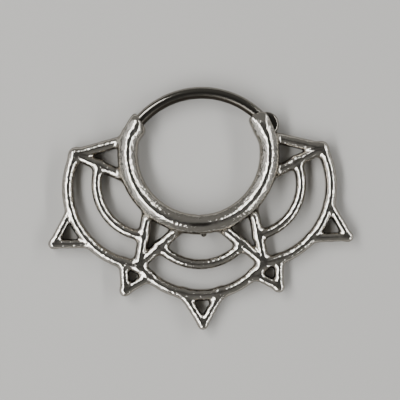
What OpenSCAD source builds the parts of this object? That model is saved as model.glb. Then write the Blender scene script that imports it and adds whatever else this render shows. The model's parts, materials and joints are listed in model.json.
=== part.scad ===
// Hinged septum ring: a cast hoop with an openwork fan, closed by a round hinged bar.
// The ring lies on its flat back in the XY plane, with its front up and its bar towards +Y.
// Angles are counted from the hoop's lowest point, round to either side.

/* [Hoop] */
// Inside radius of the hoop
hoop_inner_r = 5; // [4.6:0.1:5.6]
// Width of the hoop's wall, seen from the front
hoop_wall = 1.72; // [1.5:0.02:1.9]
// Thickness of the hoop, from its flat back to its ridge
hoop_depth = 2.1; // [1.9:0.05:2.5]
// Angle from the hoop's lowest point to each of its two ends
hoop_end_angle = 121; // [118:0.5:125]

/* [Clicker bar] */
// Diameter of the round bar that goes through the piercing
bar_d = 1; // [0.98:0.02:1.2]
// How far the middle of the bar dips inside the round of the hoop
bar_dip = 0.5; // [0.2:0.05:0.8]
// How far the top of the bar's bend lies towards the hinge
bar_shift = 0.06; // [0:0.01:0.15]
// Radius of the flat eye on the bar's hinged end
eye_r = 1.02; // [0.9:0.02:1.15]
// Thickness of that eye, a little flatter than the round bar
eye_t = 0.92; // [0.7:0.02:0.96]
// Gap on each face of the bar in its two slots
slot_gap = 0.05; // [0.03:0.01:0.08]

/* [Hinge] */
// Angle from the hoop's lowest point to the hinge pin
pin_angle = 111.9; // [110:0.1:113]
// How far the pin stands outside the middle of the hoop's wall
pin_offset = 0.24; // [0.14:0.01:0.34]
// Diameter of the hinge pin
pin_d = 0.7; // [0.5:0.05:0.8]
// Gap round the pin inside the eye
pin_running_gap = 0.05; // [0.02:0.01:0.08]
// Gap round the pin inside the two cheeks
pin_seat_gap = 0.01; // [0.01:0.005:0.02]
// Width of the hinge cheeks, seen from the front
cheek_w = 1.9; // [1.7:0.05:2.1]
// How far the middle of the cheeks lies inside the middle of the hoop's wall
cheek_inset = 0.12; // [0:0.01:0.2]
// Length of hoop that the hinge cheeks take up
cheek_len = 2.3; // [2:0.1:2.8]
// Gap round the eye inside the hinge slot
eye_gap = 0.07; // [0.04:0.01:0.12]
// Slope of the cheeks' end, against a straight cut
cheek_end_slope = -16; // [-20:1:0]

/* [Catch] */
// Width of the hoop's end at the catch
catch_w = 1.78; // [1.6:0.02:1.9]
// How far the middle of the catch lies inside the middle of the hoop's wall
catch_inset = 0.22; // [0:0.01:0.3]
// Length of hoop that the catch takes up
catch_len = 1.9; // [1.6:0.1:2.4]
// Depth of the catch slot, along the hoop
catch_slot_depth = 1.1; // [0.8:0.05:1.3]
// Gap between the bar's tip and the bottom of the catch slot
tip_gap = 0.12; // [0.06:0.02:0.2]
// Slope of the catch's end, against a straight cut
catch_end_slope = 14; // [0:1:18]
// Bevel along the cheeks and the catch
end_bevel = 0.38; // [0.25:0.02:0.42]

/* [Triangles] */
// Width of the triangles' bars
tri_w = 0.95; // [0.8:0.05:1.1]
// Thickness of the triangles' bars
tri_depth = 1.3; // [1.1:0.05:1.6]
// Distance from the hoop to the tips of the side triangles
side_tip_reach = 3.44; // [3.2:0.01:3.9]
// Distance from the hoop to the tips of the lower triangles
low_tip_reach = 3.78; // [3.5:0.01:4.2]
// Angle from the hoop's lowest point to the side triangles' tips
side_tip_angle = 91; // [88:0.1:93]
// Angle from the hoop's lowest point to the lower triangles' tips
low_tip_angle = 29.6; // [27:0.1:32]
// Angle to the side triangles' upper feet on the hoop
side_foot_high = 103; // [101:0.1:104]
// Angle to the side triangles' lower feet on the hoop
side_foot_low = 68.7; // [66:0.1:72]
// Angle to the lower triangles' outer feet on the hoop
low_foot_outer = 46.2; // [43:0.1:49]
// Angle to the lower triangles' inner feet on the hoop
low_foot_inner = 12.6; // [10:0.1:16]

/* [Scallops] */
// Width of the outer scallops
outer_w = 0.97; // [0.8:0.01:1.1]
// Thickness of the outer scallops
outer_depth = 1.25; // [1.05:0.05:1.55]
// Distance from the hoop to the middle of each outer scallop
outer_reach = 4.96; // [4.7:0.01:5.3]
// Width of the inner scallops
inner_w = 0.87; // [0.7:0.01:1]
// Thickness of the inner scallops
inner_depth = 1.2; // [1:0.05:1.5]
// Distance from the hoop to the middle of each inner scallop
inner_reach = 2.43; // [2.2:0.01:2.8]
// Share of a triangle's bar, from its tip, where an inner scallop meets it
inner_share = 0.45; // [0.38:0.01:0.52]
// Angle from the hoop's lowest point to the middle of the side petals
petal_angle = 59.5; // [57:0.1:62]

/* [Spikes] */
// Width of the spikes' bars
spike_w = 0.78; // [0.65:0.01:0.9]
// Thickness of the spikes' bars
spike_depth = 1.15; // [0.95:0.05:1.45]
// How far the three large spikes stand out from the scallops
large_spike_len = 2.44; // [2:0.02:3]
// Half of the angle that a large spike spans
large_spike_half = 7.8; // [7:0.1:8.6]
// How far the two small spikes stand out from the triangles' tips
small_spike_len = 2.4; // [2:0.05:2.8]
// Half of the angle that a small spike spans
small_spike_half = 6.3; // [5.6:0.1:7]

/* [Hidden] */
$fn = 96;

// How much wider a joint's round post is than the bars that meet in it
post_margin = 0.03;
// How far from a joint's middle its bars begin, inside its post
joint_inset = 0.2;
// How far a cutting shape runs past what it cuts
past = 1;
// Angle that a slot's cut runs on, past the end of the hoop
slot_run_out = 30;

hoop_mid_r = hoop_inner_r + hoop_wall / 2;
hoop_outer_r = hoop_inner_r + hoop_wall;
cheek_mid_r = hoop_mid_r - cheek_inset;
catch_mid_r = hoop_mid_r - catch_inset;
end_depth = hoop_depth + post_margin;
bar_z = end_depth / 2;
slot_w = bar_d + 2 * slot_gap;

side_tip_r = hoop_outer_r + side_tip_reach;
low_tip_r = hoop_outer_r + low_tip_reach;
outer_r = hoop_outer_r + outer_reach;
inner_r = hoop_outer_r + inner_reach;
large_spike_r = outer_r + large_spike_len;
small_spike_r = low_tip_r + small_spike_len;

cheek_start_angle = hoop_end_angle - arc_angle(cheek_len, hoop_mid_r);
catch_start_angle = hoop_end_angle - arc_angle(catch_len, hoop_mid_r);
catch_slot_angle = hoop_end_angle - arc_angle(catch_slot_depth, hoop_mid_r);
bar_tip_angle = catch_slot_angle + arc_angle(tip_gap, hoop_mid_r);

pin_at = at_angle(pin_angle, hoop_mid_r + pin_offset);
bar_left = at_angle(-bar_tip_angle, (hoop_mid_r + catch_mid_r) / 2);
bar_right = [2 * bar_shift - bar_left.x, bar_left.y];
bar_crown = [bar_shift, hoop_inner_r - bar_dip + bar_d / 2];
bar_centre = circle_centre(bar_left, bar_crown, bar_right);
bar_arc_r = norm(bar_crown - bar_centre);

// Angle that a length takes up on a circle
function arc_angle(len, r) = len / r * 180 / PI;

// Point at an angle from the hoop's lowest point, positive to the right
function at_angle(a, r) = r * [sin(a), -cos(a)];

// Point part of the way from one point to another
function between(a, b, share) = a + share * (b - a);

// Point a set distance from one point towards another
function towards(a, b, distance) = a + distance * (b - a) / norm(b - a);

// Angle of a direction, from +X
function heading(v) = atan2(v.y, v.x);

// Angle brought to within half a turn of zero
function wrapped(a) = a - 360 * round(a / 360);

// Centre of the circle through three points
function circle_centre(a, b, c) =
    let (
        p = b - a,
        q = c - a,
        twice_area = 2 * (p.x * q.y - p.y * q.x),
        pp = p * p,
        qq = q * q
    )
    a + [q.y * pp - p.y * qq, p.x * qq - q.x * pp] / twice_area;

// Point where the line from the hoop's centre, at an angle, leaves a circle
function leaves_circle(centre, r, a) =
    let (
        u = at_angle(a, 1),
        along = u * centre
    )
    u * (along + sqrt(along * along - centre * centre + r * r));

// Section of a cast bar: a round ridge on straight sides and a flat back
module bar_section(w, depth) {
    translate([0, depth - w / 2])
        circle(d = w);
    translate([-w / 2, 0])
        square([w, depth - w / 2]);
}

// Section of the cheeks and the catch: a flat front with a bevel on each side
module end_section(w) {
    polygon([
        [-w / 2, 0],
        [w / 2, 0],
        [w / 2, end_depth - end_bevel],
        [w / 2 - end_bevel, end_depth],
        [-w / 2 + end_bevel, end_depth],
        [-w / 2, end_depth - end_bevel]
    ]);
}

// Straight cast bar from one point to another
module straight_bar(a, b, w, depth) {
    translate([a.x, a.y, 0])
        rotate([0, 0, heading(b - a)])
            rotate([90, 0, 90])
                linear_extrude(norm(b - a))
                    bar_section(w, depth);
}

// Curved cast bar from one point to another, through a third
module curved_bar(a, middle, b, w, depth) {
    centre = circle_centre(a, middle, b);
    mid_heading = heading(middle - centre);
    to_a = wrapped(heading(a - centre) - mid_heading);
    to_b = wrapped(heading(b - centre) - mid_heading);
    translate([centre.x, centre.y, 0])
        rotate([0, 0, mid_heading + min(to_a, to_b)])
            rotate_extrude(angle = abs(to_a) + abs(to_b))
                translate([norm(a - centre), 0])
                    bar_section(w, depth);
}

// Round post that joins the bars that meet at a point
module post(at, w, depth) {
    round_w = w + 2 * post_margin;
    translate([at.x, at.y, 0])
        rotate_extrude()
            intersection() {
                bar_section(round_w, depth + post_margin);
                square([round_w, depth + 2 * post_margin]);
            }
}

// Piece of ring round the hoop's centre, between two angles from its lowest point
module ring_piece(from_angle, to_angle) {
    rotate([0, 0, from_angle - 90])
        rotate_extrude(angle = to_angle - from_angle)
            children();
}

// Two bars that meet in a point
module pointed_pair(tip, feet, w, depth) {
    for (foot = feet)
        straight_bar(towards(tip, foot, joint_inset), foot, w, depth);
    post(tip, w, depth);
}

// Triangle that stands on the hoop
module triangle(tip, foot_a, foot_b) {
    feet = [for (a = [foot_a, foot_b]) at_angle(a, hoop_mid_r)];
    pointed_pair(tip, feet, tri_w, tri_depth);
}

// Spike of two bars that stand on the scallops
module spike(tip, foot_a, foot_b) {
    pointed_pair(tip, [foot_a, foot_b], spike_w, spike_depth);
}

// Side petal: a triangle, two scallops and a large spike, for side -1 or 1
module side_petal(side) {
    tip = at_angle(side * side_tip_angle, side_tip_r);
    low_tip = at_angle(side * low_tip_angle, low_tip_r);
    crest = at_angle(side * petal_angle, outer_r);
    foot_low = at_angle(side * side_foot_low, hoop_mid_r);
    foot_outer = at_angle(side * low_foot_outer, hoop_mid_r);
    triangle(tip, side * side_foot_high, side * side_foot_low);
    curved_bar(tip, crest, low_tip, outer_w, outer_depth);
    curved_bar(
        between(tip, foot_low, inner_share),
        at_angle(side * petal_angle, inner_r),
        between(low_tip, foot_outer, inner_share),
        inner_w, inner_depth
    );
    centre = circle_centre(tip, crest, low_tip);
    r = norm(crest - centre);
    spike(
        at_angle(side * petal_angle, large_spike_r),
        leaves_circle(centre, r, side * (petal_angle - large_spike_half)),
        leaves_circle(centre, r, side * (petal_angle + large_spike_half))
    );
}

// Bottom petal: two scallops and a large spike between the lower triangles
module bottom_petal() {
    tips = [for (side = [-1, 1]) at_angle(side * low_tip_angle, low_tip_r)];
    feet = [for (side = [-1, 1]) at_angle(side * low_foot_inner, hoop_mid_r)];
    crest = at_angle(0, outer_r);
    centre = circle_centre(tips[0], crest, tips[1]);
    curved_bar(tips[0], crest, tips[1], outer_w, outer_depth);
    curved_bar(
        between(tips[0], feet[0], inner_share),
        at_angle(0, inner_r),
        between(tips[1], feet[1], inner_share),
        inner_w, inner_depth
    );
    spike(
        at_angle(0, large_spike_r),
        leaves_circle(centre, norm(crest - centre), -large_spike_half),
        leaves_circle(centre, norm(crest - centre), large_spike_half)
    );
}

// Lower triangle with the small spike outside its tip, for side -1 or 1
module lower_triangle(side) {
    low_tip = at_angle(side * low_tip_angle, low_tip_r);
    side_tip = at_angle(side * side_tip_angle, side_tip_r);
    side_crest = at_angle(side * petal_angle, outer_r);
    side_centre = circle_centre(side_tip, side_crest, low_tip);
    bottom_crest = at_angle(0, outer_r);
    bottom_centre = circle_centre(low_tip, bottom_crest, [-low_tip.x, low_tip.y]);
    triangle(low_tip, side * low_foot_inner, side * low_foot_outer);
    spike(
        at_angle(side * low_tip_angle, small_spike_r),
        leaves_circle(
            bottom_centre,
            norm(bottom_crest - bottom_centre),
            side * (low_tip_angle - small_spike_half)
        ),
        leaves_circle(
            side_centre,
            norm(side_crest - side_centre),
            side * (low_tip_angle + small_spike_half)
        )
    );
}

// Everything beyond an end of the hoop, sloped against a straight cut
module beyond_end(angle, slope) {
    at = at_angle(angle, hoop_mid_r);
    side = sign(angle);
    translate([at.x, at.y, -past])
        rotate([0, 0, angle - 90 + side * slope])
            translate([-hoop_mid_r, side > 0 ? 0 : -hoop_mid_r, 0])
                cube([2 * hoop_mid_r, hoop_mid_r, end_depth + 2 * past]);
}

// Round of the hoop, which runs a little way into its two ends
module hoop_ring() {
    run_in = arc_angle(joint_inset, hoop_mid_r);
    ring_piece(-catch_start_angle - run_in, cheek_start_angle + run_in)
        translate([hoop_mid_r, 0])
            bar_section(hoop_wall, hoop_depth);
}

// Solid ends of the hoop, before their slots: the hinge cheeks and the catch
module hoop_ends() {
    difference() {
        ring_piece(cheek_start_angle, hoop_end_angle + arc_angle(past, hoop_mid_r))
            translate([cheek_mid_r, 0])
                end_section(cheek_w);
        beyond_end(hoop_end_angle, cheek_end_slope);
    }
    difference() {
        ring_piece(-hoop_end_angle - arc_angle(past, hoop_mid_r), -catch_start_angle)
            translate([catch_mid_r, 0])
                end_section(catch_w);
        beyond_end(-hoop_end_angle, catch_end_slope);
    }
}

// Slots for the bar: across the hoop's wall, and round the eye
module slots() {
    reach = (cheek_w + past) / 2;
    ring_piece(pin_angle - arc_angle(eye_r / 2, hoop_mid_r), hoop_end_angle + slot_run_out)
        translate([hoop_mid_r - reach, bar_z - slot_w / 2])
            square([2 * reach, slot_w]);
    translate([pin_at.x, pin_at.y, bar_z - slot_w / 2])
        cylinder(r = eye_r + eye_gap, h = slot_w);
    ring_piece(-hoop_end_angle - slot_run_out, -catch_slot_angle)
        translate([hoop_mid_r - reach, bar_z - slot_w / 2])
            square([2 * reach, slot_w]);
}

module openwork_hoop() {
    color("silver")
        difference() {
            union() {
                hoop_ring();
                hoop_ends();
                bottom_petal();
                for (side = [-1, 1]) {
                    side_petal(side);
                    lower_triangle(side);
                }
            }
            slots();
            translate([pin_at.x, pin_at.y, -past])
                cylinder(d = pin_d + 2 * pin_seat_gap, h = end_depth + 2 * past);
        }
}

module clicker_bar() {
    tip = leaves_circle(bar_centre, bar_arc_r, -bar_tip_angle);
    from_heading = heading(pin_at - bar_centre) + arc_angle(eye_r / 2, bar_arc_r);
    to_heading = heading(tip - bar_centre);
    color("silver")
        difference() {
            union() {
                translate([bar_centre.x, bar_centre.y, bar_z])
                    rotate([0, 0, from_heading])
                        rotate_extrude(angle = to_heading - from_heading)
                            translate([bar_arc_r, 0])
                                circle(d = bar_d);
                translate([pin_at.x, pin_at.y, bar_z - eye_t / 2])
                    cylinder(r = eye_r, h = eye_t);
            }
            translate([pin_at.x, pin_at.y, bar_z - bar_d])
                cylinder(d = pin_d + 2 * pin_running_gap, h = 2 * bar_d);
        }
}

module hinge_pin() {
    color("gainsboro")
        translate([pin_at.x, pin_at.y, 0])
            cylinder(d = pin_d, h = end_depth);
}

openwork_hoop();
clicker_bar();
hinge_pin();
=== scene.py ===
"""A hinged septum ring in silver: a cast hoop with an openwork fan, and a round bar hinged across its top.

The ring lies on its flat back, front up, and the camera looks straight down on it. Sizes of the ring
are in millimetres. Places on it are given by an angle from the hoop's lowest point and a radius.
"""
import json
import math

import bpy
import numpy as np
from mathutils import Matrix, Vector


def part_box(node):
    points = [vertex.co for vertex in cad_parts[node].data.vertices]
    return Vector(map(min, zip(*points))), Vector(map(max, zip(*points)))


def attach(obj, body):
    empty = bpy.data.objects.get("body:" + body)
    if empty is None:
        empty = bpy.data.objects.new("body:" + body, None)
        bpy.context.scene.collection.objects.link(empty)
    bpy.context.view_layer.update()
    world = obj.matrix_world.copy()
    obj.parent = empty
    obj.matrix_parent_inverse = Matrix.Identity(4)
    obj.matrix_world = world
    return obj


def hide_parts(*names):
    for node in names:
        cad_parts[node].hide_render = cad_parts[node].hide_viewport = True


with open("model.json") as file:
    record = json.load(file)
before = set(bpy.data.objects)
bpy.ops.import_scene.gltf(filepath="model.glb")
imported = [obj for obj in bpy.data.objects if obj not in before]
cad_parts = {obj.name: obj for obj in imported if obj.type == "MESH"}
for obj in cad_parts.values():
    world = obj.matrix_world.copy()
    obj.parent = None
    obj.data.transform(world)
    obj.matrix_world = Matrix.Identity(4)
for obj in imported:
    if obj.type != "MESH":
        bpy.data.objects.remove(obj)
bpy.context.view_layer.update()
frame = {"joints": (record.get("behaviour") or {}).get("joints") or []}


# Openwork hoop: one lost-wax casting in sterling silver, the lower three quarters of a round hoop with a
# fan that grows out of it. Wax wires were laid out flat and fused where they meet, so every joint has a
# soft fillet, every bar a round ridge, and the back is flat. Both ends are slotted for the bar.
MM = 0.001
hoop_r = 5.86
hoop_half = 0.85
hoop_depth = 2.1
hoop_lean = 46
hoop_crest = 0.38
hoop_corner = 0.25
hoop_end = 121.0
end_depth = 1000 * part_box("openwork_hoop")[1].z


def at_angle(degrees, radius):
    """Point at an angle from the hoop's lowest point, positive to the right: radius times (sin, -cos)."""
    a = math.radians(degrees)
    return radius * np.array([math.sin(a), -math.cos(a)])


def circle_through(a, b, c):
    """Centre and radius of the circle through three points: where two chords' perpendiculars cross."""
    p, q = b - a, c - a
    centre = a + np.array([q[1] * (p @ p) - p[1] * (q @ q), p[0] * (q @ q) - q[0] * (p @ p)]) / (
        2 * (p[0] * q[1] - p[1] * q[0]))
    return centre, np.linalg.norm(a - centre)


def leaves_circle(centre, radius, degrees):
    """Point where the line from the hoop's centre, at an angle, leaves a circle."""
    u = at_angle(degrees, 1)
    along = u @ centre
    return u * (along + math.sqrt(along * along - centre @ centre + radius * radius))


def line_route(a, b):
    """Distance in the plane from a straight wire: from the nearest point between its ends."""
    def distance(x, y):
        run = b - a
        t = np.clip(((x - a[0]) * run[0] + (y - a[1]) * run[1]) / (run @ run), 0, 1)
        return np.hypot(x - a[0] - t * run[0], y - a[1] - t * run[1])
    return distance


def arc_route(a, middle, b):
    """Distance in the plane from a bent wire: from its circle within its angle, or else from an end."""
    centre, radius = circle_through(a, middle, b)
    facing = (middle - centre) / radius
    half = math.acos(np.clip((a - centre) @ facing / radius, -1, 1))

    def distance(x, y):
        dx, dy = x - centre[0], y - centre[1]
        turn = np.arctan2(facing[0] * dy - facing[1] * dx, facing[0] * dx + facing[1] * dy)
        ends = np.minimum(np.hypot(x - a[0], y - a[1]), np.hypot(x - b[0], y - b[1]))
        return np.where(np.abs(turn) <= half, np.abs(np.hypot(dx, dy) - radius), ends)
    return distance


def fused(a, b, fillet):
    """Union of two fields with a fillet: the lower one, lowered further where they are nearly equal."""
    near = np.maximum(fillet - np.abs(a - b), 0) / fillet
    return np.minimum(a, b) - near * near * fillet / 4


def cut_by(a, b, rounding):
    """What is inside both fields, with the edge between them rounded."""
    return -fused(-a, -b, rounding)


def ridge(offset, z, half, depth, lean, crest, corner):
    """Section of a cast bar: straight sides, and a roof that falls away from a round ridge. The roof is
    the hyperbola whose radius at the ridge is crest and whose slope tends to the tangent of lean."""
    steep = math.tan(math.radians(lean))
    flat = crest * steep * steep
    run = np.hypot(flat, steep * offset)
    slope = steep * steep * offset / run
    roof = (z - depth + run - flat) / np.hypot(1, slope)
    return cut_by(np.abs(offset) - half, roof, corner)


# Each kind of wire has a width, a depth and the fillet where it meets others. The tips of the triangles
# are an angle and a radius, their feet on the hoop two angles, and the spikes a radius and a half angle.
triangle_wire = (0.95, 1.34, 0.25)
outer_wire = (0.97, 1.30, 0.42)
inner_wire = (0.87, 1.27, 0.42)
large_spike_wire = (0.78, 1.22, 0.25)
small_spike_wire = (0.78, 1.22, 0.36)
side_tip = (91.0, 10.16)
side_feet = (103.0, 68.7)
low_tip = (29.6, 10.50)
low_feet = (46.2, 12.6)
large_spike = (14.12, 7.8)
small_spike = (12.86, 6.3)
petal_middle = 59.5
outer_crest = 11.68
inner_crest = 9.15
# The inner scallops start this share of the way along the triangles' wires, from tip to foot.
inner_share = {"left": (0.42, 0.48), "right": (0.45, 0.45), "bottom": (0.45, 0.45)}

wires = []
tips = {}
for side in (-1, 1):
    tip = at_angle(side * side_tip[0], side_tip[1])
    low = at_angle(side * low_tip[0], low_tip[1])
    foot_high, foot_low = (at_angle(side * a, hoop_r) for a in side_feet)
    foot_outer, foot_inner = (at_angle(side * a, hoop_r) for a in low_feet)
    tips[side] = (low, foot_inner)
    for a, b in ((tip, foot_high), (tip, foot_low), (low, foot_outer), (low, foot_inner)):
        wires.append((line_route(a, b), *triangle_wire))
    crest = at_angle(side * petal_middle, outer_crest)
    wires.append((arc_route(tip, crest, low), *outer_wire))
    high_share, low_share = inner_share["left" if side < 0 else "right"]
    start = tip + high_share * (foot_low - tip)
    end = low + low_share * (foot_outer - low)
    wires.append((arc_route(start, at_angle(side * petal_middle, inner_crest), end), *inner_wire))
    side_circle = circle_through(tip, crest, low)
    point = at_angle(side * petal_middle, large_spike[0])
    for turn in (-large_spike[1], large_spike[1]):
        foot = leaves_circle(*side_circle, side * (petal_middle + turn))
        wires.append((line_route(point, foot), *large_spike_wire))
    bottom_circle = circle_through(low, at_angle(0, outer_crest), low * [-1, 1])
    point = at_angle(side * low_tip[0], small_spike[0])
    for circle, turn in ((bottom_circle, -small_spike[1]), (side_circle, small_spike[1])):
        foot = leaves_circle(*circle, side * (low_tip[0] + turn))
        wires.append((line_route(point, foot), *small_spike_wire))
    foot = leaves_circle(*bottom_circle, side * large_spike[1])
    wires.append((line_route(at_angle(0, large_spike[0]), foot), *large_spike_wire))
(left, left_foot), (right, right_foot) = tips[-1], tips[1]
wires.append((arc_route(left, at_angle(0, outer_crest), right), *outer_wire))
left_share, right_share = inner_share["bottom"]
start = left + left_share * (left_foot - left)
end = right + right_share * (right_foot - right)
wires.append((arc_route(start, at_angle(0, inner_crest), end), *inner_wire))


def past_angle(x, y, degrees, slope=0):
    """Distance beyond a straight cut across the hoop at an angle, turned by a slope about its middle."""
    at = at_angle(degrees, hoop_r)
    side = math.copysign(1, degrees)
    a = math.radians(degrees + side * slope)
    return side * ((x - at[0]) * math.cos(a) + (y - at[1]) * math.sin(a))


def swelling(x, y, start, full):
    """How far an end of the hoop has swollen, from 0 to 1, by a smooth step between two angles."""
    angle = np.degrees(np.arctan2(x, -y)) * math.copysign(1, start)
    t = np.clip((angle - abs(start)) / (abs(full) - abs(start)), 0, 1)
    return t * t * (3 - 2 * t)


# The hinge cheeks, at the right end: how they swell out of the hoop, their dome and its front facet.
cheek_grows = (96, 111)
cheek_inset = 0.12
cheek_extra = 0.10
cheek_flatter = 0.5
dome_at = 114.3
dome_r = 0.92
dome_shift = 0.05
dome_power = 2.6
dome_round = 0.25
cheek_slant = -27
cheek_facet_run = 0.62
cheek_facet_fall = 2.0
# The catch, at the left end: how it swells and bends inwards, its slanting end and the bevel along it.
catch_grows = (-101, -113)
catch_inset = 0.22
catch_extra = 0.04
catch_flatter = 0.3
catch_bends = (-108, -132)
bend_inset = 0.26
catch_end = 122.7
catch_slant = 26
catch_round = 0.12
catch_facet_run = 0.26
catch_facet_fall = 1.8
facet_round = 0.10
# What the sprue left at the hoop's lowest point: a fine seam on the ridge, and a nub on the outer side.
seam_height = 0.05
seam_half = 0.10
seam_reach = 0.80
nub_at = (0.25, -6.66, 0.9)
nub_r = 0.25
nub_fillet = 0.12


def seam(x, y):
    """Strength of the seam: a bell curve across the ridge, and a flat-topped one along it."""
    return np.exp(-((np.hypot(x, y) - hoop_r) / seam_half) ** 2 - (x / seam_reach) ** 6)


def hoop(x, y, z):
    """The round of the hoop, with its section carried along it. At the right it swells into the hinge
    cheeks, which end in a dome with a facet on its front. At the left it swells into the catch, which
    bends inwards and is cut off slanting, with a bevel at an even angle to its roof."""
    cheek = swelling(x, y, *cheek_grows)
    catch = swelling(x, y, *catch_grows)
    middle = hoop_r - cheek_inset * cheek - catch_inset * catch - bend_inset * swelling(x, y, *catch_bends)
    half = hoop_half + cheek_extra * cheek + catch_extra * catch
    depth = hoop_depth + (end_depth - hoop_depth) * (cheek + catch)
    crest = hoop_crest * (1 + cheek_flatter * cheek + catch_flatter * catch)
    offset = np.hypot(x, y) - middle
    body = ridge(offset, z, half, depth, hoop_lean, crest, hoop_corner)
    right = x > 0
    past = np.maximum(past_angle(x, y, dome_at), 0)
    dome = (past ** dome_power + np.abs(offset + dome_shift) ** dome_power) ** (1 / dome_power) - dome_r
    cheek_cut = past_angle(x, y, hoop_end, cheek_slant)
    catch_cut = past_angle(x, y, -catch_end, catch_slant)
    cheek_facet = (cheek_cut + cheek_facet_run + cheek_facet_fall * (z - end_depth)) / math.hypot(
        1, cheek_facet_fall)
    catch_facet = (catch_cut + catch_facet_run + catch_facet_fall * body) / math.hypot(1, catch_facet_fall)
    body = cut_by(body, np.where(right, dome, catch_cut), np.where(right, dome_round, catch_round))
    body = cut_by(body, np.where(right, cheek_facet, catch_facet), facet_round)
    nub = np.hypot(np.hypot(x - nub_at[0], y - nub_at[1]), z - nub_at[2]) - nub_r
    return fused(body + seam_height * seam(x, y), nub, nub_fillet)


# The fan's section is that of the wires. Where they meet the hoop they rise by foot_rise, over the run
# between two radii.
wire_lean = 54
wire_crest = 0.34
wire_corner = 0.20
foot_rise = 0.12
foot_run = (7.6, 6.4)


def fan(x, y, z):
    """The openwork: the wires fused in plan, with a fillet in every corner, under one roof whose width
    and depth pass from one wire's to the next across the fillets."""
    beyond, half, high = np.inf, 0, 0
    for route, width, depth, fillet in wires:
        other = route(x, y) - width / 2
        near = np.maximum(fillet - np.abs(other - beyond), 0) / fillet
        share = np.where(other < beyond, 1 - near * near / 2, near * near / 2)
        half = half + share * (width / 2 - half)
        high = high + share * (depth - high)
        beyond = np.minimum(other, beyond) - near * near * fillet / 4
    near_hoop = np.clip((foot_run[0] - np.hypot(x, y)) / (foot_run[0] - foot_run[1]), 0, 1)
    high = high + foot_rise * near_hoop * near_hoop
    return ridge(np.maximum(beyond + half, 0), z, half, high, wire_lean, wire_crest, wire_corner)


# The wax's unevenness: the rates of each wave along x, y and z in radians a millimetre, and its phase.
waves = ((11.3, 4.1, 2.0, 0.0), (-6.2, 9.7, 0.0, 1.3), (6.1, 7.9, -3.0, 0.7))
wave_height = 0.007


def uneven(x, y, z):
    """The wax's slight unevenness: slow waves across each other, of half to one millimetre."""
    return sum(np.sin(a * x + b * y + c * z + phase) for a, b, c, phase in waves) / len(waves)


# The slots for the eye and the bar's tip, and the pin's hole. A thin wall closes them on the inner side.
hinge = next(j for j in frame["joints"] if j["name"] == "bar_hinge")
pin_x, pin_y, bar_z = (1000 * v for v in hinge["pos_m"])
pin_hole_r = 0.36
eye_r = 1.02
eye_room = 0.07
catch_slot_depth = 1.1
slot_half = 0.55
slot_round = 0.05
slot_inside_r = 5.04
slot_run_out = 1.45
hinge_slot_start = math.degrees(math.atan2(pin_x, -pin_y)) - math.degrees(eye_r / 2 / hoop_r)
catch_slot_start = hoop_end - math.degrees(catch_slot_depth / hoop_r)
joint_fillet = 0.3
back_round = 0.10


def casting(x, y, z):
    """The whole casting: hoop, ends and wires fused together, less the slots and the pin's hole."""
    solid = fused(hoop(x, y, z), fan(x, y, z), joint_fillet) + wave_height * uneven(x, y, z)
    solid = cut_by(solid, -z, back_round)
    from_pin = np.hypot(x - pin_x, y - pin_y)
    from_centre = np.hypot(x, y)
    right = x > 0
    into_slot = np.where(right, past_angle(x, y, hinge_slot_start), past_angle(x, y, -catch_slot_start))
    slot = np.maximum(-into_slot, from_centre - hoop_r - slot_run_out)
    slot = np.where(right, np.minimum(slot, from_pin - eye_r - eye_room), slot)
    slot = np.maximum(slot, slot_inside_r - from_centre)
    solid = cut_by(solid, -np.maximum(slot, np.abs(z - bar_z) - slot_half), slot_round)
    return np.maximum(solid, pin_hole_r - from_pin)


def gradient(field, p):
    """Slope of a field at points, from differences of a thousandth of a millimetre each way."""
    step = 0.001
    moves = step * np.eye(3)
    return np.stack([field(*(p + s).T) - field(*(p - s).T) for s in moves], axis=1) / (2 * step)


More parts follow.
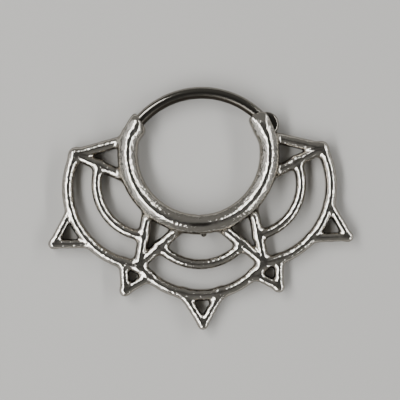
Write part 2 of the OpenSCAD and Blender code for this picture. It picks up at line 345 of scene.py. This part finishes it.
def skin(field, low, high, cell):
    """Closed skin of the solid where a field is negative. Every grid edge that the field crosses gives a
    point and a plane there. Each cell gets one vertex, nearest to the planes of its own edges, and each
    crossed edge one quad between the four cells round it."""
    grazing = 0.2
    pull_to_mean = 0.02
    least_slope = 0.1
    axes = [np.arange(lo, hi + cell, cell) for lo, hi in zip(low, high)]
    value = field(axes[0][:, None, None], axes[1][None, :, None], axes[2][None, None, :])
    cells = np.array(value.shape) - 1
    total = int(np.prod(cells))
    sums = np.zeros((7, total))
    matrix = np.zeros((6, total))
    quads = []
    for axis in range(3):
        lower = np.moveaxis(value, axis, 0)[:-1]
        upper = np.moveaxis(value, axis, 0)[1:]
        crossed = np.stack(np.nonzero((lower < 0) != (upper < 0)), axis=1)
        f0, f1 = lower[tuple(crossed.T)], upper[tuple(crossed.T)]
        order = [axis] + [k for k in range(3) if k != axis]
        at = np.empty_like(crossed)
        at[:, order] = crossed
        p = np.stack([axes[k][at[:, k]] for k in range(3)], axis=1)
        p[:, axis] += cell * f0 / (f0 - f1)
        n = gradient(field, p)
        n /= np.linalg.norm(n, axis=1, keepdims=True)
        along = np.where(np.abs(n[:, axis]) < grazing, np.inf, n[:, axis])
        for _ in range(2):
            p[:, axis] -= np.clip(field(*p.T) / along, -cell / 4, cell / 4)
        planes = [n[:, i] * n[:, j] for i in range(3) for j in range(i, 3)]
        reach = np.einsum("ij,ij->i", n, p)
        u, v = (axis + 1) % 3, (axis + 2) % 3
        corners = []
        for du, dv in ((-1, -1), (0, -1), (0, 0), (-1, 0)):
            c = at.copy()
            c[:, u] += du
            c[:, v] += dv
            flat = (c[:, 0] * cells[1] + c[:, 1]) * cells[2] + c[:, 2]
            corners.append(flat)
            for k, row in enumerate([np.ones(len(flat)), *p.T, *(n.T * reach)]):
                sums[k] += np.bincount(flat, row, total)
        quad = np.stack(corners, axis=1)
        quads.append(np.where((f0 < 0)[:, None], quad, quad[:, ::-1]))
        for k, row in enumerate(planes):
            for flat in corners:
                matrix[k] += np.bincount(flat, row, total)
    used = np.nonzero(sums[0])[0]
    count = sums[0, used]
    mean = (sums[1:4, used] / count).T
    xx, xy, xz, yy, yz, zz = matrix[:, used]
    a = np.stack([xx, xy, xz, xy, yy, yz, xz, yz, zz], axis=1).reshape(-1, 3, 3)
    b = sums[4:7, used].T - np.einsum("nij,nj->ni", a, mean)
    a += pull_to_mean * count[:, None, None] * np.eye(3)
    shift = np.linalg.solve(a, b[:, :, None])[:, :, 0]
    vertices = mean + np.clip(shift, -cell, cell)
    slope = gradient(field, vertices)
    step = field(*vertices.T) / np.maximum(np.einsum("ij,ij->i", slope, slope), least_slope)
    vertices -= np.clip(step, -cell / 3, cell / 3)[:, None] * slope
    index = np.zeros(total, int)
    index[used] = np.arange(len(used))
    return vertices, index[np.concatenate(quads)]


def recess_depth(field, vertices):
    """How deep a point sits between its neighbours, from 0 in the open to 1: how much less than the
    distance walked outwards the field has risen, over walks of a tenth to half a millimetre."""
    n = gradient(field, vertices)
    n /= np.linalg.norm(n, axis=1, keepdims=True)
    walks = (0.1, 0.2, 0.35, 0.5)
    lost = sum(1 - field(*(vertices + w * n).T) / w for w in walks) / len(walks)
    return np.clip(lost, 0, 1)


def solid_piece(name, vertices, faces):
    """Mesh object from points in millimetres and faces, smooth but for its sharp edges."""
    crease_degrees = 40
    mesh = bpy.data.meshes.new(name)
    mesh.from_pydata((vertices * MM).tolist(), [], faces)
    mesh.validate()
    mesh.polygons.foreach_set("use_smooth", [True] * len(mesh.polygons))
    mesh.set_sharp_from_angle(angle=math.radians(crease_degrees))
    mesh.update()
    piece = bpy.data.objects.new(name, mesh)
    bpy.context.scene.collection.objects.link(piece)
    return piece


cast_cell = 0.1
margin = 0.25
low, high = (1000 * np.array(corner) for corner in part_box("openwork_hoop"))
vertices, faces = skin(casting, low - margin, high + margin, cast_cell)
openwork = solid_piece("cast_openwork_hoop", vertices, faces.tolist())
# Painted shade in the corners between wires, by how deep each point sits, and a darker line along the seam
# at the hoop's lowest point.
painted_shade_and_seam = openwork.data.attributes.new("painted_shade_and_seam", "FLOAT", "POINT")
painted_shade_and_seam_amount = np.clip(recess_depth(casting, vertices) + seam(vertices[:, 0], vertices[:, 1]), 0, 1)
painted_shade_and_seam.data.foreach_set("value", painted_shade_and_seam_amount.astype(np.float32))


def linear(hex_colour):
    """Linear colour with alpha from an sRGB hex value."""
    parts = [int(hex_colour[i:i + 2], 16) / 255 for i in (1, 3, 5)]
    return tuple(c / 12.92 if c <= 0.04045 else ((c + 0.055) / 1.055) ** 2.4 for c in parts) + (1.0,)


def add_node(tree, kind, settings=None, **links):
    """Adds a node, sets its properties and sockets from settings, and links named sockets to outputs."""
    node = tree.nodes.new(kind)
    for key, value in (settings or {}).items():
        if key in node.inputs:
            node.inputs[key].default_value = value
        else:
            setattr(node, key, value)
    for key, output in links.items():
        tree.links.new(output, node.inputs[key.replace("_", " ")])
    return node


# Cast sterling silver, tumbled and hand polished. The skin keeps a faint unevenness from the wax, which
# breaks the long highlights into beads. Its colour is darkened as painted shade in the corners between
# wires and on the steep sides, and it is darker along the seam at the hoop's lowest point.
polished_silver = "#DAD6CE"
painted_shade_silver = "#857F75"
bead_mm = 0.24
bead_height_mm = 0.040
grain_mm = 0.09
grain_height_mm = 0.002
silver = bpy.data.materials.new("cast_sterling_silver")
silver.use_nodes = True
tree = silver.node_tree
shader = tree.nodes["Principled BSDF"]
shader.inputs["Metallic"].default_value = 1.0
place = add_node(tree, "ShaderNodeTexCoord")
# Reads the painted shade in corners and the seam line from the mesh.
depth = add_node(tree, "ShaderNodeAttribute", {"attribute_name": "painted_shade_and_seam"})
facing = add_node(tree, "ShaderNodeNewGeometry")
# Painted shade on the steep sides: darker as the surface turns away from facing up.
split = add_node(tree, "ShaderNodeSeparateXYZ", Vector=facing.outputs["Normal"])
level = add_node(tree, "ShaderNodeMath", {"operation": "ABSOLUTE"}, Value=split.outputs["Z"])
side = add_node(tree, "ShaderNodeMapRange",
                {"From Min": 0.80, "From Max": 0.45, "To Min": 0.0, "To Max": 1.0}, Value=level.outputs[0])
painted_shade_sum = add_node(tree, "ShaderNodeMath", {"operation": "ADD", "use_clamp": True})
tree.links.new(depth.outputs["Fac"], painted_shade_sum.inputs[0])
tree.links.new(side.outputs["Result"], painted_shade_sum.inputs[1])
# Painted shade: the silver is mixed towards a darker copy in corners, on steep sides and along the seam.
painted_shade_mix = add_node(tree, "ShaderNodeMix", {"data_type": "RGBA"})
painted_shade_mix.inputs[6].default_value = linear(polished_silver)
painted_shade_mix.inputs[7].default_value = linear(painted_shade_silver)
tree.links.new(painted_shade_sum.outputs[0], painted_shade_mix.inputs[0])
tree.links.new(painted_shade_mix.outputs[2], shader.inputs["Base Color"])
beads = add_node(tree, "ShaderNodeTexNoise", {"Scale": 1 / (bead_mm * MM), "Detail": 2.0, "Roughness": 0.5},
                 Vector=place.outputs["Object"])
grain = add_node(tree, "ShaderNodeTexNoise", {"Scale": 1 / (grain_mm * MM), "Detail": 2.0, "Roughness": 0.6},
                 Vector=place.outputs["Object"])
bead_bump = add_node(tree, "ShaderNodeBump", {"Strength": 1.0, "Distance": bead_height_mm * MM},
                     Height=beads.outputs["Fac"])
grain_bump = add_node(tree, "ShaderNodeBump", {"Strength": 1.0, "Distance": grain_height_mm * MM},
                      Height=grain.outputs["Fac"], Normal=bead_bump.outputs["Normal"])
tree.links.new(grain_bump.outputs["Normal"], shader.inputs["Normal"])
rough = add_node(tree, "ShaderNodeMapRange", {"To Min": 0.07, "To Max": 0.15}, Value=grain.outputs["Fac"])
tree.links.new(rough.outputs["Result"], shader.inputs["Roughness"])
openwork.data.materials.append(silver)
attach(openwork, "frame")
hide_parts("openwork_hoop")


# Clicker bar: drawn silver wire, bent to an arc that dips a little inside the round of the hoop. Its right
# end is flattened into an eye for the pin, and its left end is rounded where it drops into the catch slot.
bar_half = 0.5
crown = np.array([0.06, 5.0])
tip_gap = 0.12
tip_round = 0.12
eye_half = 0.46
eye_round = 0.30
eye_hole_r = 0.40
neck_fillet = 0.1
wire_cell = 0.07
tip_angle = -catch_slot_start - math.degrees(tip_gap / hoop_r)
catch_tip = at_angle(tip_angle, hoop_r - catch_inset / 2)
bar_centre, bar_r = circle_through(catch_tip, crown, 2 * crown * [1, 0] + catch_tip * [-1, 1])
bar_tip = leaves_circle(bar_centre, bar_r, tip_angle)
bar_route = arc_route(bar_tip, crown, np.array([pin_x, pin_y]))


def clicker(x, y, z):
    """The bar: a round wire on its arc, fused to a disc with a round rim, less the pin's hole."""
    wire = np.hypot(bar_route(x, y), z - bar_z) - bar_half
    wire = cut_by(wire, -past_angle(x, y, tip_angle), tip_round)
    from_pin = np.hypot(x - pin_x, y - pin_y)
    eye = cut_by(from_pin - eye_r, np.abs(z - bar_z) - eye_half, eye_round)
    return np.maximum(fused(wire, eye, neck_fillet), eye_hole_r - from_pin)


low, high = (1000 * np.array(corner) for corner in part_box("clicker_bar"))
vertices, faces = skin(clicker, low - margin, high + margin, wire_cell)
bar = solid_piece("drawn_clicker_bar", vertices, faces.tolist())

# Drawn sterling silver, polished on its outer side. Its inner side is rougher, and its colour there is
# darkened to brown as painted shade, so that it takes no sharp highlight.
drawn_silver = "#827F78"
painted_shade_brown = "#38332C"
haze_mm = 0.5
haze_height_mm = 0.003
inner_side_roughness = 0.34
drawn = bpy.data.materials.new("drawn_sterling_silver")
drawn.use_nodes = True
tree = drawn.node_tree
shader = tree.nodes["Principled BSDF"]
shader.inputs["Metallic"].default_value = 1.0
place = add_node(tree, "ShaderNodeTexCoord")
outwards = add_node(tree, "ShaderNodeVectorMath", {"operation": "NORMALIZE"})
tree.links.new(place.outputs["Object"], outwards.inputs[0])
faces_out = add_node(tree, "ShaderNodeVectorMath", {"operation": "DOT_PRODUCT"})
tree.links.new(place.outputs["Normal"], faces_out.inputs[0])
tree.links.new(outwards.outputs["Vector"], faces_out.inputs[1])
# Painted shade on the inner side, which faces the hoop's centre. The same mask makes that side rougher.
painted_shade_and_roughness = add_node(tree, "ShaderNodeMapRange", {"From Min": 0.15, "From Max": -0.40},
                Value=faces_out.outputs["Value"])
painted_shade_mix = add_node(tree, "ShaderNodeMix", {"data_type": "RGBA"})
painted_shade_mix.inputs[6].default_value = linear(drawn_silver)
painted_shade_mix.inputs[7].default_value = linear(painted_shade_brown)
tree.links.new(painted_shade_and_roughness.outputs["Result"], painted_shade_mix.inputs[0])
tree.links.new(painted_shade_mix.outputs[2], shader.inputs["Base Color"])
haze = add_node(tree, "ShaderNodeTexNoise", {"Scale": 1 / (haze_mm * MM), "Detail": 3.0},
                Vector=place.outputs["Object"])
rough = add_node(tree, "ShaderNodeMapRange", {"To Min": 0.12, "To Max": 0.18}, Value=haze.outputs["Fac"])
duller = add_node(tree, "ShaderNodeMath", {"operation": "MULTIPLY_ADD"})
duller.inputs[1].default_value = inner_side_roughness
tree.links.new(painted_shade_and_roughness.outputs["Result"], duller.inputs[0])
tree.links.new(rough.outputs["Result"], duller.inputs[2])
tree.links.new(duller.outputs["Value"], shader.inputs["Roughness"])
bump = add_node(tree, "ShaderNodeBump", {"Strength": 1.0, "Distance": haze_height_mm * MM},
                Height=haze.outputs["Fac"])
tree.links.new(bump.outputs["Normal"], shader.inputs["Normal"])
bar.data.materials.append(drawn)
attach(bar, "bar")
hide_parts("clicker_bar")


# Hinge pin: a short silver rivet through both cheeks and the eye. It is hammered, filed to the shape of
# the cheeks and polished with them, so that only a hairline shows.
pin_r = 0.35
pin_sides = 48
pin_rings = np.array([0.001, 0.12, 0.24, 0.33, pin_r, pin_r, 0.33, 0.24, 0.12, 0.001])


def cheek_top(x, y):
    """Height of the front cheek over points, without its hole: found by halving."""
    lo, hi = np.full(x.shape, bar_z + slot_half), np.full(x.shape, end_depth + 0.1)
    for _ in range(30):
        mid = (lo + hi) / 2
        inside = hoop(x, y, mid) < 0
        lo, hi = np.where(inside, mid, lo), np.where(inside, hi, mid)
    return lo


around = np.linspace(0, 2 * math.pi, pin_sides, endpoint=False)
x = pin_x + pin_rings[:, None] * np.cos(around)
y = pin_y + pin_rings[:, None] * np.sin(around)
front = np.arange(len(pin_rings))[:, None] < len(pin_rings) // 2
z = np.where(front, cheek_top(x, y), 0.0)
vertices = np.stack([x, y, z], axis=2).reshape(-1, 3)
k, j = np.meshgrid(np.arange(len(pin_rings) - 1), np.arange(pin_sides), indexing="ij")
beside = (j + 1) % pin_sides
faces = np.stack([k * pin_sides + j, k * pin_sides + beside, (k + 1) * pin_sides + beside,
                  (k + 1) * pin_sides + j], axis=2)
last = len(vertices) - pin_sides
faces = faces.reshape(-1, 4)[:, ::-1].tolist() + [
    list(range(pin_sides)), list(range(last, last + pin_sides))[::-1]]
rivet = solid_piece("hinge_rivet", vertices, faces)
rivet.data.materials.append(silver)
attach(rivet, "frame")
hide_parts("hinge_pin")


# Table, light and camera: a pale matt board under the ring, a softbox and a fainter reflector at each
# side, and a small softbox at the upper left. The room is dark overhead and to both sides, and lighter
# towards the front and back. The camera stands straight above, turned as the photograph is.
floor_mesh = bpy.data.meshes.new("floor")
floor_mesh.from_pydata([(-1, -1, -1e-5), (1, -1, -1e-5), (1, 1, -1e-5), (-1, 1, -1e-5)], [], [(0, 1, 2, 3)])
floor = bpy.data.objects.new("floor", floor_mesh)
bpy.context.scene.collection.objects.link(floor)
board = bpy.data.materials.new("matt_white_board")
board.use_nodes = True
board.node_tree.nodes["Principled BSDF"].inputs["Base Color"].default_value = linear("#B8B7B4")
board.node_tree.nodes["Principled BSDF"].inputs["Roughness"].default_value = 0.9
floor_mesh.materials.append(board)

fan_middle = Vector((0.016 * MM, -3.84 * MM, 0.001))
light_distance = 0.4


def soft_light(name, polar, azimuth, height, width, radiance):
    """Rectangular light facing the ring: polar is its angle from straight above, azimuth from +X, and
    radiance how bright it looks in a mirror."""
    p, a = math.radians(polar), math.radians(azimuth)
    away = Vector((math.sin(p) * math.cos(a), math.sin(p) * math.sin(a), math.cos(p)))
    data = bpy.data.lights.new(name, "AREA")
    data.shape = "RECTANGLE"
    data.size, data.size_y = width, height
    data.energy = radiance * math.pi * width * height
    light = bpy.data.objects.new(name, data)
    light.location = fan_middle + light_distance * away
    light.rotation_euler = away.to_track_quat("Z", "Y").to_euler()
    bpy.context.scene.collection.objects.link(light)


soft_light("left_softbox", 37, 187, 0.10, 0.80, 11.0)
soft_light("left_reflector", 60, 187, 0.24, 0.80, 0.7)
soft_light("upper_left_softbox", 42, 122, 0.09, 0.075, 9.0)
soft_light("right_softbox", 54, 1, 0.045, 0.74, 12.0)
soft_light("right_reflector", 70, 1, 0.16, 0.74, 0.25)

world = bpy.data.worlds.new("studio_room")
world.use_nodes = True
bpy.context.scene.world = world
tree = world.node_tree
place = add_node(tree, "ShaderNodeTexCoord")
split = add_node(tree, "ShaderNodeSeparateXYZ", Vector=place.outputs["Generated"])
away = add_node(tree, "ShaderNodeMath", {"operation": "ABSOLUTE"}, Value=split.outputs["Y"])
fade = add_node(tree, "ShaderNodeMath", {"operation": "SQRT"}, Value=away.outputs[0])
walls = add_node(tree, "ShaderNodeMapRange", {"To Min": 0.01, "To Max": 0.20}, Value=fade.outputs[0])
tree.links.new(walls.outputs["Result"], tree.nodes["Background"].inputs["Strength"])
tree.nodes["Background"].inputs["Color"].default_value = linear("#FFFDF8")

camera_distance = 0.15
photo_turn = 1.438
camera_data = bpy.data.cameras.new("camera")
camera_data.lens = 163.6
camera_data.sensor_width = 36.0
camera_data.clip_start = 0.005
camera = bpy.data.objects.new("camera", camera_data)
camera.location = fan_middle + Vector((0, 0, camera_distance))
camera.rotation_euler = (0, 0, -math.radians(photo_turn))
bpy.context.scene.collection.objects.link(camera)
bpy.context.scene.camera = camera
